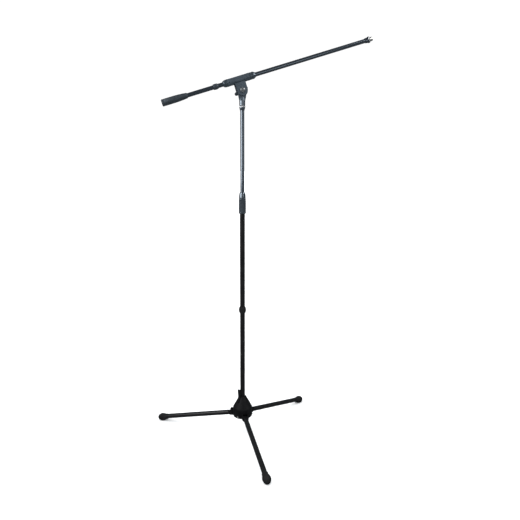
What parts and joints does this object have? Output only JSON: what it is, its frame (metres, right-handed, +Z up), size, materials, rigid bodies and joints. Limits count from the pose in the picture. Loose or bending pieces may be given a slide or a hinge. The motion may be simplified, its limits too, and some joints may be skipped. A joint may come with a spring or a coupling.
{
  "type": "boom microphone stand",
  "caption": "Tall microphone stand with a folding tripod, a telescoping pole with a twist clutch, and a tilting, sliding boom with a counterweighted grip and a threaded tip.",
  "frame": {"origin": "on the floor, at the middle of the stand's footprint box as it stands open", "axes": "+Z up along the pole, +X the way the boom's tip points, +Y to the side of the tilt handle"},
  "size_m": [0.8574, 0.6178, 1.5967],
  "materials": {
    "black_casting": "satin",
    "black_powder_coat": "satin",
    "black_plastic": "satin",
    "black_rubber": "matte",
    "nickel": "polished",
    "plain_steel": "satin",
    "brass": "satin",
    "fibre": "matte"
  },
  "bodies": {
    "base": {"hub_cover": "black_casting", "hub_base_plate": "black_casting", "base_screw": "nickel", "hub_screw_1": "nickel", "hub_screw_2": "nickel", "hub_screw_3": "nickel", "leg_pin_1": "black_powder_coat", "leg_pin_2": "black_powder_coat", "leg_pin_3": "black_powder_coat", "lever_pin": "nickel", "lock_spring": "plain_steel", "lower_tube": "black_powder_coat", "clutch_ferrule": "black_casting"},
    "lock": {"lock_sleeve": "black_plastic"},
    "lever": {"release_lever": "black_plastic"},
    "leg_1": {"leg_root_1": "black_casting", "leg_tube_1": "black_powder_coat", "leg_foot_1": "black_rubber"},
    "leg_2": {"leg_root_2": "black_casting", "leg_tube_2": "black_powder_coat", "leg_foot_2": "black_rubber"},
    "leg_3": {"leg_root_3": "black_casting", "leg_tube_3": "black_powder_coat", "leg_foot_3": "black_rubber"},
    "pole_ring": {"pole_cable_ring": "black_rubber"},
    "clutch": {"clutch_sleeve": "black_plastic", "clutch_grip": "black_rubber"},
    "collet": {"clutch_collet": "black_plastic"},
    "mast": {"upper_tube": "black_powder_coat", "upper_tube_guide": "black_plastic", "tube_top_collar": "black_plastic", "threaded_stud": "plain_steel", "neck_ring": "nickel", "swivel_neck": "black_casting"},
    "swivel": {"clamp_front_half": "black_casting", "clamp_rear_half": "black_casting", "clamp_ring_back": "black_plastic", "clamp_ring_front": "black_plastic", "clamp_screw": "nickel", "tilt_bolt": "nickel", "friction_washer_front": "fibre", "friction_washer_rear": "fibre", "bolt_washer": "nickel"},
    "handle": {"t_handle": "black_plastic", "t_handle_insert": "brass"},
    "liner": {"clamp_liner": "black_plastic"},
    "boom": {"boom_tube": "black_powder_coat", "butt_grip": "black_rubber", "counterweight": "plain_steel", "boom_tip_cap": "black_plastic", "tip_stud": "plain_steel", "tip_ring": "nickel", "thread_adapter": "nickel"},
    "boom_ring": {"boom_cable_ring": "black_rubber"}
  },
  "joints": [
    {"name": "leg_fold_1", "type": "hinge", "parent": "base", "child": "leg_1", "pos_m": [-0.03307, 0.10716, 0.0804], "axis": [0.5807, -0.8141, 0], "range_deg": [0, 101.5]},
    {"name": "leg_fold_2", "type": "hinge", "parent": "base", "child": "leg_2", "pos_m": [-0.12013, 0.09878, 0.0804], "axis": [0.4147, 0.91, 0], "range_deg": [0, 101.5]},
    {"name": "leg_fold_3", "type": "hinge", "parent": "base", "child": "leg_3", "pos_m": [-0.06934, 0.02757, 0.0804], "axis": [-0.9954, -0.0958, 0], "range_deg": [0, 101.5]},
    {"name": "lever_pull", "type": "hinge", "parent": "base", "child": "lever", "pos_m": [-0.09046, 0.06622, 0.1435], "axis": [0.5807, -0.8141, 0], "range_deg": [0, 14], "stiffness_Nm_per_rad": 0.036, "springref_deg": -34.95},
    {"name": "lock_lift", "type": "slide", "parent": "base", "child": "lock", "axis": [0, 0, 1], "range_m": [0, 0.0012], "deforming": ["lock_spring"]},
    {"name": "pole_ring_slide", "type": "slide", "parent": "base", "child": "pole_ring", "axis": [0, 0, 1], "range_m": [-0.33, 0.37]},
    {"name": "clutch_twist", "type": "hinge", "parent": "base", "child": "clutch", "pos_m": [-0.07418, 0.07784, 0.9262], "axis": [0, 0, 1], "range_deg": [0, 90]},
    {"name": "upper_pan", "type": "hinge", "parent": "base", "child": "collet", "pos_m": [-0.07418, 0.07784, 0.9676], "axis": [0, 0, 1], "continuous": true},
    {"name": "height_slide", "type": "slide", "parent": "collet", "child": "mast", "axis": [0, 0, 1], "range_m": [-0.3, 0.36]},
    {"name": "boom_tilt", "type": "hinge", "parent": "mast", "child": "swivel", "pos_m": [-0.07418, 0.07784, 1.3868], "axis": [0, -1, 0], "range_deg": [-105, 70]},
    {"name": "handle_turn", "type": "hinge", "parent": "swivel", "child": "handle", "pos_m": [-0.07418, 0.1055, 1.3868], "axis": [0, 1, 0], "range_deg": [0, 360]},
    {"name": "boom_twist", "type": "hinge", "parent": "swivel", "child": "liner", "pos_m": [-0.08619, 0.07784, 1.42411], "axis": [0.9519, 0, 0.3065], "continuous": true},
    {"name": "boom_slide", "type": "slide", "parent": "liner", "child": "boom", "axis": [0.9519, 0, 0.3065], "range_m": [-0.44, 0.018]},
    {"name": "boom_ring_slide", "type": "slide", "parent": "boom", "child": "boom_ring", "axis": [0.9519, 0, 0.3065], "range_m": [-0.09, 0]}
  ],
  "couplings": [
    {"joint": "lever_pull", "follows": "lock_lift", "rad_per_m": 203.6}
  ]
}
